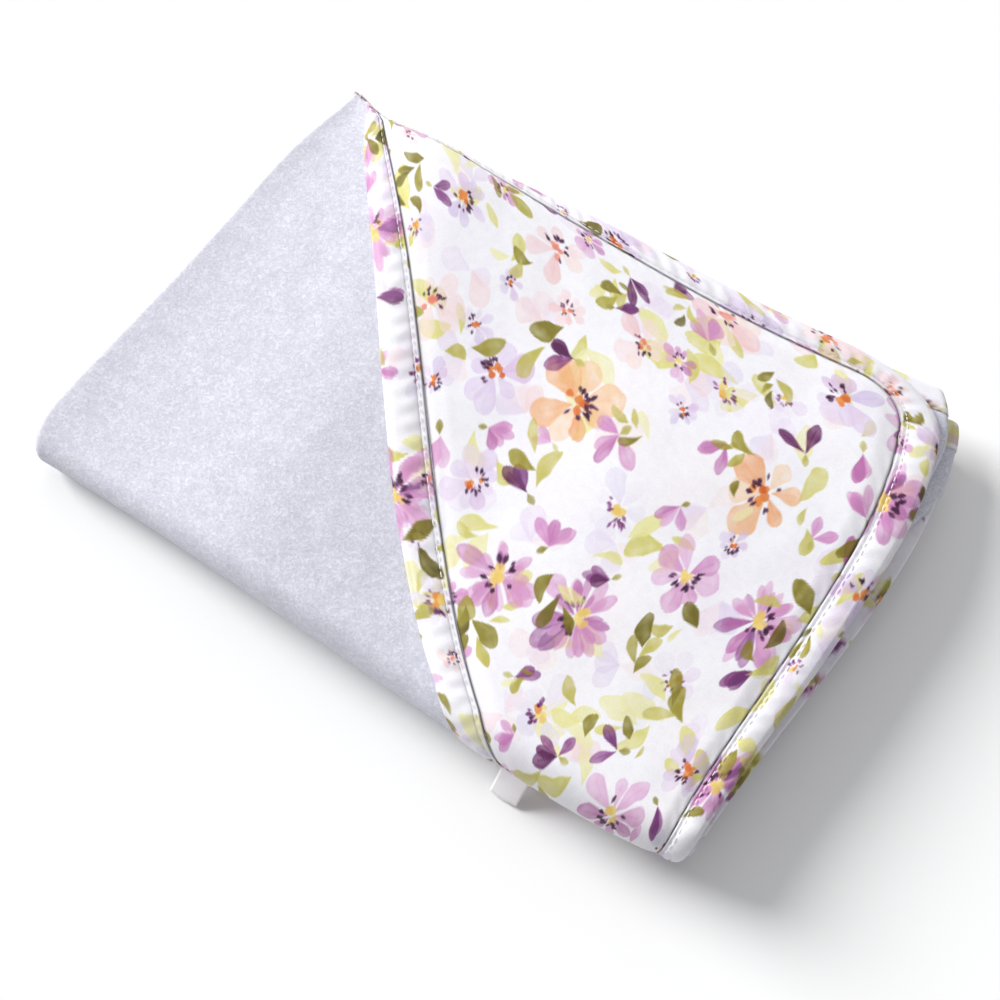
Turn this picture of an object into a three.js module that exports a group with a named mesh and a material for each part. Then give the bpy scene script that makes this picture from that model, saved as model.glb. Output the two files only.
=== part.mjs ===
// Hooded baby towel folded into a flat packet, hood corner on top. Millimetres, +Z up.
// Every fabric piece starts as a flat panel in towel coordinates: u runs along one side from the
// hood corner, v along the other, w is the height above the cloth's middle surface. One folding
// function then wraps the panel through the packet's folds, so all pieces share the same folds.
//
// The towel is folded in three along u (two folds), then in half twice along v. Counting twelve
// levels from the bottom, the four v plies are: a = levels 9..11 (hood side, on top), b = 6..8,
// c = 3..5, d = 0..2. The last long fold, on the -Y side, joins a to d and b to c; the other long
// fold, on the +Y side, joins c to d.
import * as THREE from 'three';
import { mergeVertices } from 'three/addons/utils/BufferGeometryUtils.js';

const TOWEL = 737;          // side of the square towel
const CLOTH = 1.9;          // thickness of one terry layer, pressed
const PITCH = 2.2;          // spacing of the layers in the packet
const CLEAR = 0.3;          // gap between touching pieces
const UNDER = 0.6;          // gap between the towel and the hood lining
const EDGE_X = 134;         // x of the towel's free side edge on the top ply
const FOLD_X = 136.7;       // x where the two short folds begin to turn
const EDGE_Y = 94.5;        // y of the far side of the packet
const CORNER_R = 28;        // rounded corners of the towel
const BAND = 13;            // width of the binding on each face
const HOOD_U = 262;         // hood side along u
const HOOD_V = 315;         // hood side along v, wraps round the long fold
const LINING = 0.8;         // hood lining, pressed
const PRINT = 0.8;          // printed hood panel
const RISE = 2.7;           // how far the packet stands up over the hood tip under it
const FLAP_W = 66;          // part of the hood behind its front seam that lifts, measured along u
const SHIFT = [0, -1.5, 0.5, -1.0];   // sideways misplacement of plies a, b, c, d
const LABEL_W = 9, LABEL_L = 14, LABEL_T = 0.8;
const STITCH_W = 1.2, STITCH_H = 0.35;

const TURN_U = Math.PI * 0.5 * PITCH;
const TURN_AD = Math.PI * 4.5 * PITCH, TURN_DC = Math.PI * 1.5 * PITCH, TURN_CB = Math.PI * 1.5 * PITCH;
const FAR_REACH = 2.5 * PITCH + CLOTH / 2;
const LEN_A = (TOWEL - TURN_AD - TURN_DC - TURN_CB + 2 * FAR_REACH) / 4, LEN_B = LEN_A;
const FOLD_Y = EDGE_Y - LEN_A, FAR_Y = EDGE_Y - FAR_REACH;
const LEN_D = FAR_Y - FOLD_Y, LEN_C = LEN_D;
const LEN1 = EDGE_X + FOLD_X, LEN2 = 2 * FOLD_X;
const U1 = LEN1, U2 = U1 + TURN_U, U3 = U2 + LEN2, U4 = U3 + TURN_U;
const V1 = LEN_A, V2 = V1 + TURN_AD, V3 = V2 + LEN_D, V4 = V3 + TURN_DC, V5 = V4 + LEN_C, V6 = V5 + TURN_CB;
const END_X = FOLD_X - (TOWEL - U4);          // x where the short third part ends inside the packet
const SLOPE0 = END_X - 1, SLOPE1 = -130;      // the packet thins out between these

const clamp = (t, a = 0, b = 1) => Math.min(b, Math.max(a, t));
const thin = x => clamp((SLOPE0 - x) / (SLOPE0 - SLOPE1));
const rise = (x, y) => RISE * clamp((x - 10) / 30) * clamp((70 - y) / 40);

// height of level l (0..11, real number) at x
function height(l, x) {
  const q = l + 0.5, d = thin(x);
  let z = Math.min(q, 0) * PITCH + Math.max(q - 12, 0) * PITCH;
  for (let i = 0; i < 12; i++)
    z += clamp(q - i) * PITCH * (1 - d * (i === 2 || i === 3 || i === 8 || i === 9 ? 1 : 0));
  return z - (PITCH - CLOTH) / 2;
}

// the two short folds: towel coordinate u and height w give x and the level within the ply
function foldU(u, w) {
  const k = w / PITCH;
  if (u < U1) return [EDGE_X - u, 1 + k];
  if (u < U2) {
    const f = (u - U1) / TURN_U * Math.PI;
    return [-FOLD_X - PITCH * (0.5 + k) * Math.sin(f), 0.5 + (0.5 + k) * Math.cos(f)];
  }
  if (u < U3) return [-FOLD_X + (u - U2), -k];
  if (u < U4) {
    const f = (u - U3) / TURN_U * Math.PI;
    return [FOLD_X + PITCH * (0.5 - k) * Math.sin(f), -0.5 + (0.5 - k) * Math.cos(f)];
  }
  return [FOLD_X - (u - U4), -1 + k];
}

// the whole folding function
function fold(u, v, w) {
  const [x, e] = foldU(u, w);
  const turn = (s, length, yc, side, r, la, lb, sa, sb) => {
    const t = clamp(s / length), f = t * Math.PI, up = rise(x, yc);
    const za = height(la, x) + up, zb = height(lb, x) + up;
    return [x + sa + (sb - sa) * t, yc + side * PITCH * r * Math.sin(f), (za + zb) / 2 + (za - zb) / 2 * Math.cos(f)];
  };
  if (v < V1) { const y = EDGE_Y - v; return [x + SHIFT[0], y, height(10 + e, x) + rise(x, y)]; }
  if (v < V2) return turn(v - V1, TURN_AD, FOLD_Y, -1, 4.5 + e, 10 + e, 1 - e, SHIFT[0], SHIFT[3]);
  if (v < V3) { const y = FOLD_Y + (v - V2); return [x + SHIFT[3], y, height(1 - e, x) + rise(x, y)]; }
  if (v < V4) return turn(v - V3, TURN_DC, FAR_Y, 1, 1.5 + e, 1 - e, 4 + e, SHIFT[3], SHIFT[2]);
  if (v < V5) { const y = FAR_Y - (v - V4); return [x + SHIFT[2], y, height(4 + e, x) + rise(x, y)]; }
  if (v < V6) return turn(v - V5, TURN_CB, FOLD_Y, -1, 1.5 - e, 4 + e, 7 - e, SHIFT[2], SHIFT[1]);
  const y = FOLD_Y + (v - V6);
  return [x + SHIFT[1], y, height(7 - e, x) + rise(x, y)];
}

// ---- lines where the panels are divided, so that neighbours bend at the same places
const turnStops = (a, length, n) => Array.from({ length: n + 1 }, (_, i) => a + length * i / n);
const stops = list => [...new Set(list.map(q => Math.round(q * 1e4) / 1e4))].sort((a, b) => a - b);
const within = (list, a, b) => stops([a, b, ...list.filter(q => q > a + 0.05 && q < b - 0.05)]);
const X_STOPS = [121, 106, 88, 40, 10, -20, SLOPE0, -90];
const uStops = (() => {
  const xs = [...X_STOPS, SLOPE1];
  return stops([0, ...xs.map(x => EDGE_X - x), ...turnStops(U1, TURN_U, 4), ...xs.map(x => U2 + x + FOLD_X),
    ...turnStops(U3, TURN_U, 4), ...xs.filter(x => x > END_X + 3).map(x => U4 + FOLD_X - x), TOWEL]);
})();
const Y_STOPS = [70, 50, 30, 0, -30, -60];
const vStops = stops([0,
  ...Y_STOPS.map(y => EDGE_Y - y), ...turnStops(V1, TURN_AD, 8),
  ...Y_STOPS.map(y => V2 + y - FOLD_Y), ...turnStops(V3, TURN_DC, 6),
  ...Y_STOPS.map(y => V4 + FAR_Y - y), ...turnStops(V5, TURN_CB, 6),
  ...Y_STOPS.map(y => V6 + y - FOLD_Y), TOWEL]);
const MID_AD = V1 + TURN_AD / 2, MID_CB = V5 + TURN_CB / 2;

// ---- a flat box divided at the stops, then folded
function finish(geometry) {
  geometry.deleteAttribute('normal');
  geometry.deleteAttribute('uv');
  let g = mergeVertices(geometry, 1e-4);
  const p = g.attributes.position, ix = g.index;
  let volume = 0;
  const a = new THREE.Vector3(), b = new THREE.Vector3(), c = new THREE.Vector3();
  for (let i = 0; i < ix.count; i += 3) {
    a.fromBufferAttribute(p, ix.getX(i)); b.fromBufferAttribute(p, ix.getX(i + 1)); c.fromBufferAttribute(p, ix.getX(i + 2));
    volume += a.dot(b.cross(c)) / 6;
  }
  if (volume < 0) {
    const order = [];
    for (let i = 0; i < ix.count; i += 3) order.push(ix.getX(i), ix.getX(i + 2), ix.getX(i + 1));
    g.setIndex(order);
  }
  g.computeVertexNormals();
  return g;
}

// place(i, j) gives the towel coordinates of grid point i, j
function panel(ni, nj, place, w0, w1) {
  const g = new THREE.BoxGeometry(1, 1, 1, ni, nj, 1);
  const p = g.attributes.position;
  for (let k = 0; k < p.count; k++) {
    const i = Math.round((p.getX(k) + 0.5) * ni), j = Math.round((p.getY(k) + 0.5) * nj);
    const [u, v] = place(i, j);
    p.setXYZ(k, ...fold(u, v, p.getZ(k) > 0 ? w1 : w0));
  }
  return finish(g);
}

// distance that a rounded corner of radius r takes off the side edge, at distance q from the end edge
const cornerCut = (q, r) => q >= r ? 0 : r - Math.sqrt(Math.max(0, r * r - (r - q) * (r - q)));

const INNER = BAND + CLEAR, INNER_R = CORNER_R - INNER;

// terry between v0 and v1; its sides stop at the binding, with rounded corners at the towel's ends
function terry(v0, v1, nearEnd, farEnd) {
  const extra = [];
  if (nearEnd) extra.push(INNER + 2, INNER + 6, CORNER_R);
  if (farEnd) extra.push(TOWEL - INNER - 2, TOWEL - INNER - 6, TOWEL - CORNER_R);
  const vs = within([...vStops, ...extra], v0, v1);
  const us = within([...uStops, CORNER_R, TOWEL - CORNER_R], INNER, TOWEL - INNER);
  return panel(us.length - 1, vs.length - 1, (i, j) => {
    const v = vs[j];
    let cut = 0;
    if (nearEnd) cut = Math.max(cut, cornerCut(v - INNER, INNER_R));
    if (farEnd) cut = Math.max(cut, cornerCut(TOWEL - INNER - v, INNER_R));
    let u = us[i];
    const room = CORNER_R - INNER;
    if (u < CORNER_R) u = INNER + cut + (u - INNER) * (room - cut * 0.96) / room;
    if (u > TOWEL - CORNER_R) u = TOWEL - INNER - cut - (TOWEL - INNER - u) * (room - cut * 0.96) / room;
    return [u, v];
  }, -CLOTH / 2, CLOTH / 2);
}

// a strip of the binding along a path of towel coordinates [u, v, nu, nv], nu nv pointing to the edge
function strip(path, w0, w1, from = -BAND / 2, to = BAND / 2) {
  return panel(path.length - 1, 1, (i, j) => {
    const [u, v, nu, nv] = path[i], t = j ? to : from;
    return [u + nu * t, v + nv * t];
  }, w0, w1);
}
const HB = BAND / 2;
function sideLine(which, v0, v1) {          // along the edge u = 0 (which 0) or u = TOWEL (which 1)
  const u = which ? TOWEL - HB : HB, nu = which ? 1 : -1;
  const vs = within(vStops, Math.min(v0, v1), Math.max(v0, v1));
  const out = vs.map(v => [u, v, nu, 0]);
  return v0 < v1 ? out : out.reverse();
}
function endLine(which, u0, u1) {           // along the edge v = 0 or v = TOWEL
  const v = which ? TOWEL - HB : HB, nv = which ? 1 : -1;
  const us = within(uStops, Math.min(u0, u1), Math.max(u0, u1));
  const out = us.map(u => [u, v, 0, nv]);
  return u0 < u1 ? out : out.reverse();
}
function bend(cu, cv, a0, a1, r = CORNER_R - HB, n = 5) {
  return Array.from({ length: n - 1 }, (_, i) => {
    const a = (a0 + (a1 - a0) * (i + 1) / n) * Math.PI / 180, x = Math.cos(a), y = Math.sin(a);
    return [cu + r * x, cv + r * y, x, y];
  });
}

// ---- materials
const cloth = (color, roughness) => new THREE.MeshStandardMaterial({ color, roughness, metalness: 0 });
const TERRY = () => cloth(0xeef0f6, 0.97), FLORAL = () => cloth(0xf3e6ee, 0.8), BINDING = () => cloth(0xeadbe8, 0.8);
const THREAD = () => cloth(0xf4f2ee, 0.7), SATIN = () => cloth(0xfbf6f8, 0.4);

const towel = new THREE.Group();
const add = (name, geometry, material) => { const m = new THREE.Mesh(geometry, material); m.name = name; towel.add(m); return m; };

// ---- terry body, in the four plies that the long folds divide it into
const HALF = CLEAR / 2;
add('terry_ply_top', terry(INNER, MID_AD - HALF, true, false), TERRY());
add('terry_ply_bottom', terry(MID_AD + HALF, V3 + TURN_DC / 2 - HALF, false, false), TERRY());
add('terry_ply_lower_inner', terry(V3 + TURN_DC / 2 + HALF, MID_CB - HALF, false, false), TERRY());
add('terry_ply_upper_inner', terry(MID_CB + HALF, TOWEL - INNER, false, true), TERRY());

// ---- edge binding
const W_LINING = CLOTH / 2 + UNDER, W_PRINT = W_LINING + LINING + 0.5, W_TOP = W_PRINT + PRINT;
const HOOD_END = HOOD_U - 10;
add('edge_binding_hood_corner', strip([
  ...sideLine(0, MID_AD - HALF, CORNER_R), ...bend(CORNER_R, CORNER_R, 180, 270), ...endLine(0, CORNER_R, HOOD_END)],
  -CLOTH / 2, W_TOP), BINDING());
add('edge_binding_top_ply', strip([
  ...endLine(0, HOOD_END + CLEAR, TOWEL - CORNER_R), ...bend(TOWEL - CORNER_R, CORNER_R, 270, 360), ...sideLine(1, CORNER_R, MID_AD - HALF)],
  -CLOTH / 2, CLOTH / 2), BINDING());
add('edge_binding_upper_inner_ply', strip([
  ...sideLine(1, MID_CB + HALF, TOWEL - CORNER_R), ...bend(TOWEL - CORNER_R, TOWEL - CORNER_R, 0, 90), ...endLine(1, TOWEL - CORNER_R, CORNER_R),
  ...bend(CORNER_R, TOWEL - CORNER_R, 90, 180), ...sideLine(0, TOWEL - CORNER_R, MID_CB + HALF)],
  -CLOTH / 2, CLOTH / 2), BINDING());
add('edge_binding_hood_under', strip(sideLine(0, MID_AD + HALF, HOOD_V - 8), -CLOTH / 2, W_TOP), BINDING());
add('edge_binding_lower_side', strip(sideLine(0, HOOD_V - 8 + CLEAR, MID_CB - HALF), -CLOTH / 2, CLOTH / 2), BINDING());
add('edge_binding_inner_end', strip(sideLine(1, MID_AD + HALF, MID_CB - HALF), -CLOTH / 2, CLOTH / 2), BINDING());

// ---- hood: front edge line u / HOOD_U + v / HOOD_V = 1, its binding, its panel and its lining
const front = v => HOOD_U * (1 - v / HOOD_V);
const BAND_U = BAND * Math.hypot(HOOD_U, HOOD_V) / HOOD_V;      // the band's width measured along u
const seamU = v => front(v) - BAND_U;
const flapU = v => seamU(v) - FLAP_W;
function rows(vs, n, lo, hi, w0, w1) {
  return panel(n, vs.length - 1, (i, j) => { const a = lo(vs[j]), b = hi(vs[j]); return [a + (b - a) * i / n, vs[j]]; }, w0, w1);
}
const dense = (a, b, step) => Array.from({ length: Math.max(1, Math.round((b - a) / step)) + 1 }, (_, i, all) => a + (b - a) * i / Math.max(1, Math.round((b - a) / step)));
const INNER_CUT = v => INNER + cornerCut(v - INNER, INNER_R);
const FLAP_END = V1 - CLEAR;
const flapRows = stops([...dense(INNER, 100, 9), ...dense(100, FLAP_END, 18)]);
const fixedRows = stops([INNER, INNER + 2, INNER + 6, ...dense(CORNER_R, FLAP_END, 12)]);
const turnRows = stops([V1 + CLEAR, ...turnStops(V1, TURN_AD, 8).filter(q => q > V1 + 1 && q < MID_AD - 1), MID_AD - HALF]);
const fixedEdge = v => flapU(v) - CLEAR;
add('hood_panel', rows(fixedRows, 8, INNER_CUT, fixedEdge, W_PRINT, W_TOP), FLORAL());
add('hood_lining', rows(fixedRows, 8, INNER_CUT, fixedEdge, W_LINING, W_LINING + LINING), TERRY());
add('hood_panel_fold', rows(turnRows, 5, () => INNER, v => seamU(v) - CLEAR, W_PRINT, W_TOP), FLORAL());
add('hood_lining_fold', rows(turnRows, 5, () => INNER, v => seamU(v) - CLEAR, W_LINING, W_LINING + LINING), TERRY());
add('hood_panel_front', rows(flapRows, 6, flapU, v => seamU(v) - CLEAR, W_PRINT, W_TOP), FLORAL());
add('hood_lining_front', rows(flapRows, 6, flapU, v => seamU(v) - CLEAR, W_LINING, W_LINING + LINING), TERRY());
add('hood_front_binding', rows(flapRows, 2, seamU, front, W_LINING, W_TOP), BINDING());
add('hood_front_binding_fold', rows(turnRows, 2, seamU, front, W_LINING, W_TOP), BINDING());
const V_TIP = HOOD_V * (1 - (INNER + CLEAR + 2) / HOOD_U);       // where the binding's outer edge meets the side binding
const V_SEAM_TIP = HOOD_V * (1 - (INNER + CLEAR + 2 + BAND_U) / HOOD_U);
const underStops = vTo => stops([MID_AD + HALF, ...turnStops(V1, TURN_AD, 8).filter(q => q > MID_AD + 1), ...dense(V2, vTo, 14)]);
add('hood_panel_under', rows(underStops(V_SEAM_TIP), 4, () => INNER, v => seamU(v) - CLEAR, W_PRINT, W_TOP), FLORAL());
add('hood_lining_under', rows(underStops(V_SEAM_TIP), 4, () => INNER, v => seamU(v) - CLEAR, W_LINING, W_LINING + LINING), TERRY());
add('hood_front_binding_under', rows(underStops(V_TIP), 2, v => Math.max(INNER, seamU(v)), front, W_LINING, W_TOP), BINDING());

// ---- seam threads, a fine ridge lying on the cloth just outside each seam
const SEAM_T = -HB + 2.2;
add('edge_topstitch', strip([
  ...sideLine(0, MID_AD - HALF, CORNER_R), ...bend(CORNER_R, CORNER_R, 180, 270), ...endLine(0, CORNER_R, HOOD_END - 2)],
  W_TOP + 0.5, W_TOP + 0.5 + STITCH_H, SEAM_T, SEAM_T + STITCH_W), THREAD());
add('hood_front_topstitch', rows(flapRows, 1, v => seamU(v) + 2.2, v => seamU(v) + 2.2 + STITCH_W, W_TOP + 0.5, W_TOP + 0.5 + STITCH_H), THREAD());

// ---- side label: a folded tape that hangs from the hood front seam where it rolls over the long fold
const LABEL_V = MID_AD + 0.5;
const root = fold(seamU(LABEL_V) - 1, LABEL_V, W_TOP);
const label = new THREE.BoxGeometry(LABEL_W, LABEL_T, LABEL_L, 1, 1, 4);
label.translate(LABEL_W / 2, 0, -LABEL_L / 2);
const tag = add('side_label', finish(label), SATIN());
tag.position.set(root[0], root[1] - CLEAR - LABEL_T / 2, root[2] - 0.2);

// stand the packet on z = 0, centred on the origin
const box = new THREE.Box3().setFromObject(towel), mid = box.getCenter(new THREE.Vector3());
towel.position.set(-mid.x, -mid.y, -box.min.z);

export default towel;
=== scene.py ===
import math
import bpy
import numpy as np
from mathutils import Vector, Matrix


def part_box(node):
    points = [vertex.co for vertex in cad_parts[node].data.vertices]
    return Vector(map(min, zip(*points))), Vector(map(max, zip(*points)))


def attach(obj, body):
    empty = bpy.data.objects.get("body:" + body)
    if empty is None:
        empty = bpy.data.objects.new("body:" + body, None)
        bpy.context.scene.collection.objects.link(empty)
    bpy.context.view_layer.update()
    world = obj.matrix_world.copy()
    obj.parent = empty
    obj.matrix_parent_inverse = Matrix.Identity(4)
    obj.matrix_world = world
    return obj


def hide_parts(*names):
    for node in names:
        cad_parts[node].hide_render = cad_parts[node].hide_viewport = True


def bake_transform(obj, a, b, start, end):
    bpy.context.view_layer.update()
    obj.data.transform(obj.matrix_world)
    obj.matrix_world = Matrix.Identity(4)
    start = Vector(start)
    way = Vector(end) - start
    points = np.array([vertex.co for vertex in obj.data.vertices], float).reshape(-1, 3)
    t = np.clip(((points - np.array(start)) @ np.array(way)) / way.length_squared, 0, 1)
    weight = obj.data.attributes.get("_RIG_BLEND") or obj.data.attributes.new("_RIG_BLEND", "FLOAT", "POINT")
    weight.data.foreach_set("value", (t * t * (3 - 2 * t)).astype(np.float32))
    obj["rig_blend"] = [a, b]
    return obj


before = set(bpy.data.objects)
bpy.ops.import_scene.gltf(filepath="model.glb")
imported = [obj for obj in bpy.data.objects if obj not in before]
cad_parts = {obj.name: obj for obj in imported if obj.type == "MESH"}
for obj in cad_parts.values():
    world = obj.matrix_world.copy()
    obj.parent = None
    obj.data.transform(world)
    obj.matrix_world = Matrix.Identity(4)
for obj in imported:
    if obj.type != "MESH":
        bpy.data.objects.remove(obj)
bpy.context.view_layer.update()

# Hooded baby towel folded into a packet. Work is done in millimetres in the towel's own flat
# coordinates (u along one side from the hood corner, v along the other, w height above the cloth's
# middle) and then wrapped by fold(), the same folds as the CAD; meshes are written in metres.
P, T, TOWEL = 2.2, 1.9, 737.0
EDGE_X, FOLD_X, EDGE_Y = 134.0, 136.7, 94.5
BAND, CORNER_R = 13.0, 28.0
HU, HV = 262.0, 315.0
OX, OY, OZ = 0.5, 1.172924, 0.0
TU = math.pi * 0.5 * P
TAD, TDC, TCB = math.pi * 4.5 * P, math.pi * 1.5 * P, math.pi * 1.5 * P
FARR = 2.5 * P + T / 2
LA = (TOWEL - TAD - TDC - TCB + 2 * FARR) / 4
YN = EDGE_Y - LA
YF = EDGE_Y - FARR
LD = YF - YN
L1, L2 = EDGE_X + FOLD_X, 2 * FOLD_X
U1, U2 = L1, L1 + TU
U3 = U2 + L2
U4 = U3 + TU
V1, V2 = LA, LA + TAD
V3 = V2 + LD
V4 = V3 + TDC
V5 = V4 + LD
V6 = V5 + TCB
END_X = FOLD_X - (TOWEL - U4)
S0, S1 = END_X + 4, -128.0
RISE = 2.7
RND = np.random.default_rng(7)


def smooth(t):
    t = np.clip(t, 0, 1)
    return t * t * (3 - 2 * t)


def noise2(x, y, scale, seed, octaves=2):
    """Smooth value noise in -1..1."""
    rng = np.random.default_rng(seed)
    table = rng.uniform(-1, 1, (64, 64))
    out = np.zeros(np.broadcast(x, y).shape)
    amp, total = 1.0, 0.0
    for o in range(octaves):
        a, b = x / scale * 2 ** o + 17.3 * o, y / scale * 2 ** o + 5.1 * o
        i, j = np.floor(a).astype(int), np.floor(b).astype(int)
        fa, fb = smooth(a - i), smooth(b - j)
        g = lambda p, q: table[p % 64, q % 64]
        out += amp * (g(i, j) * (1 - fa) * (1 - fb) + g(i + 1, j) * fa * (1 - fb) + g(i, j + 1) * (1 - fa) * fb + g(i + 1, j + 1) * fa * fb)
        total += amp
        amp *= 0.5
    return out / total


def rise(x, y):
    return RISE * smooth((x + 5) / 55) * smooth((75 - y) / 50)


def height(l, x):
    d = smooth((S0 - x) / (S0 - S1))
    q = l + 0.5
    z = np.minimum(q, 0) * P + np.maximum(q - 12, 0) * P
    for i in range(12):
        z = z + np.clip(q - i, 0, 1) * P * (1 - d * (i in (2, 3, 8, 9)))
    return z - (P - T) / 2


def fold_u(u, w):
    k = w / P
    x, e = EDGE_X - u, 1 + k
    f = np.clip((u - U1) / TU, 0, 1) * math.pi
    m = u >= U1
    x = np.where(m, -FOLD_X - P * (0.5 + k) * np.sin(f), x)
    e = np.where(m, 0.5 + (0.5 + k) * np.cos(f), e)
    m = u >= U2
    x = np.where(m, -FOLD_X + (u - U2), x)
    e = np.where(m, -k, e)
    f = np.clip((u - U3) / TU, 0, 1) * math.pi
    m = u >= U3
    x = np.where(m, FOLD_X + P * (0.5 - k) * np.sin(f), x)
    e = np.where(m, -0.5 + (0.5 - k) * np.cos(f), e)
    m = u >= U4
    x = np.where(m, FOLD_X - (u - U4), x)
    e = np.where(m, -1 + k, e)
    return x, e


# how each ply is misplaced: sideways at its near and far sides, and how far its far edge sticks out
# at the left and right ends
SKEW = {"a": (-2.5, 1.5, 3.0, -1.5), "b": (-1.0, 6.0, 0.5, -14.5), "c": (-1.0, 5.5, 0.0, -16.0), "d": (-2.0, 3.0, 0.0, -17.0)}
# how far the bound side edges of the inner plies stand out at the right, and how far the top ply's own
# folds are drawn back there
PROUD, BACK = 3.6, 4.5


def along(ply, y):
    s = (y - YN) / (EDGE_Y - YN)
    return SKEW[ply][0] + (SKEW[ply][1] - SKEW[ply][0]) * s


def across(ply, x, y):
    s = smooth((y - YN) / (EDGE_Y - YN))
    t = (x + FOLD_X) / (2 * FOLD_X)
    return (SKEW[ply][2] + (SKEW[ply][3] - SKEW[ply][2]) * t) * s


TOPZ = 28.0
ROLL_R, ROLL_Y = 8.0, 76.0


def roll_over(x, y, z):
    """At the left the far edge of the upper plies rolls down over the plies below."""
    k = (1.0 - smooth((x + 95) / 150)) / ROLL_R + 1e-5
    s = np.maximum(y - ROLL_Y, 0)
    g = 1 + k * np.minimum(z - TOPZ, 6)
    cap = math.pi / 2 * (1.0 - smooth((x + 70) / 140)) + 0.02
    a = np.minimum(k * s, cap)
    over = np.maximum(s - cap / k, 0) * (s > 0)
    ge = np.maximum(g, 0.35)
    down = np.maximum(g, 0) / k * (1 - np.cos(a)) + np.clip(g, 0, 1) * over * np.sin(a)
    return np.where(s > 0, ROLL_Y + ge / k * np.sin(a) + over * np.cos(a) * np.clip(ge, 0, 1), y), np.maximum(z - down, 0.6 + 0.1 * z)


DRIFT_X = [0.19, 3.4, -11.37, -1.24, -0.6, -11.11, -9.48, 21.38, -2.06, -12.13]
DRIFT_Y = [-1.83, -0.99, 13.47, 6.18, -0.7, -1.06, 5.41, 2.23, -4.83, -17.79]


PULL = [15.62, 3.15]


def drift(x, y):
    """Slow sideways drift of the whole packet: its sides are not quite straight or parallel."""
    p, q = x / 140, y / 95
    m = [1 + 0 * p, p, q, p * p, p * q, q * q, p ** 3, p * p * q, p * q * q, q ** 3]
    g = np.exp(-((x + 137) ** 2 + (y - 90) ** 2) / (2 * 24.0 ** 2))
    tip = 3.8 * np.exp(-((x + 140) ** 2 / (2 * 7.5 ** 2) + np.minimum(y - 92, 0) ** 2 / (2 * 16.0 ** 2)))
    tip = tip + 4.0 * np.exp(-((x + 141) ** 2 / (2 * 9.0 ** 2) + (y + 93) ** 2 / (2 * 11.0 ** 2)))
    return x + sum(a * b for a, b in zip(DRIFT_X, m)) + PULL[0] * g + tip, y + sum(a * b for a, b in zip(DRIFT_Y, m)) + PULL[1] * g


def settle(x, y, z):
    """The packet's soft shape: height of the cloth above the table, eased at its edges, with slow undulations."""
    share = np.clip(z / 28.0, 0, 1)
    lump = 0.75 * noise2(x, y, 55, 11) + 0.35 * noise2(x, y, 23, 12)
    # the open ends of the upper plies sag a little
    sag = 1.0 * smooth((y - 72) / 26) * smooth((x + 20) / 60) + 1.3 * smooth((x - 112) / 28) + 1.0 * smooth((-x - 105) / 34)
    y, z = roll_over(x, y, z)
    z = z + share * (lump - sag)
    x, y = drift(x, y)
    return x, y, z


def fold(u, v, w):
    u, v, w = [np.array(q, float) for q in np.broadcast_arrays(u, v, w)]
    x, e = fold_u(u, w)

    def level(l, y):
        return height(l, x) + rise(x, y)

    y = EDGE_Y - v
    upper = smooth((V1 + TAD / 2 - v) / 20)
    x = x - BACK * upper * smooth((u - U2) / 60) * smooth((x - 10) / 120) * smooth((72 - y) / 34)
    inner = smooth((v - V4 + 40) / 40)
    x = x - 7.0 * inner * smooth((u - U2) / 60) * smooth((x - 10) / 120) * smooth((66 - np.where(v > V5, YN + (v - V6), YF - (v - V4))) / 30)
    inner = inner * smooth((U1 - u) / 60)
    x = x + PROUD * inner * smooth((x - 10) / 120)
    z = level(10 + e, y)
    xs, ys = x + along("a", y), y + across("a", x, y)

    def turn(m, s, length, yc, side, r, la, lb, pa, pb):
        nonlocal xs, ys, z
        t = np.clip(s / length, 0, 1)
        f = t * math.pi
        za, zb = level(la, yc + 0 * x), level(lb, yc + 0 * x)
        X = x + along(pa, yc) * (1 - t) + along(pb, yc) * t
        Y = yc + side * P * r * np.sin(f) + across(pa, x, yc) * (1 - t) + across(pb, x, yc) * t
        Z = (za + zb) / 2 + (za - zb) / 2 * np.cos(f)
        xs, ys, z = np.where(m, X, xs), np.where(m, Y, ys), np.where(m, Z, z)

    def flat(m, yy, l, p):
        nonlocal xs, ys, z
        xs = np.where(m, x + along(p, yy), xs)
        ys = np.where(m, yy + across(p, x, yy), ys)
        z = np.where(m, level(l, yy), z)

    turn((v >= V1) & (v < V2), v - V1, TAD, YN, -1, 4.5 + e, 10 + e, 1 - e, "a", "d")
    flat((v >= V2) & (v < V3), YN + (v - V2), 1 - e, "d")
    turn((v >= V3) & (v < V4), v - V3, TDC, YF, 1, 1.5 + e, 1 - e, 4 + e, "d", "c")
    flat((v >= V4) & (v < V5), YF - (v - V4), 4 + e, "c")
    turn((v >= V5) & (v < V6), v - V5, TCB, YN, -1, 1.5 - e, 4 + e, 7 - e, "c", "b")
    flat(v >= V6, YN + (v - V6), 7 - e, "b")
    xs, ys, z = settle(xs, ys, z)
    return np.stack([xs + OX, ys + OY, z + OZ], -1)


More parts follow.
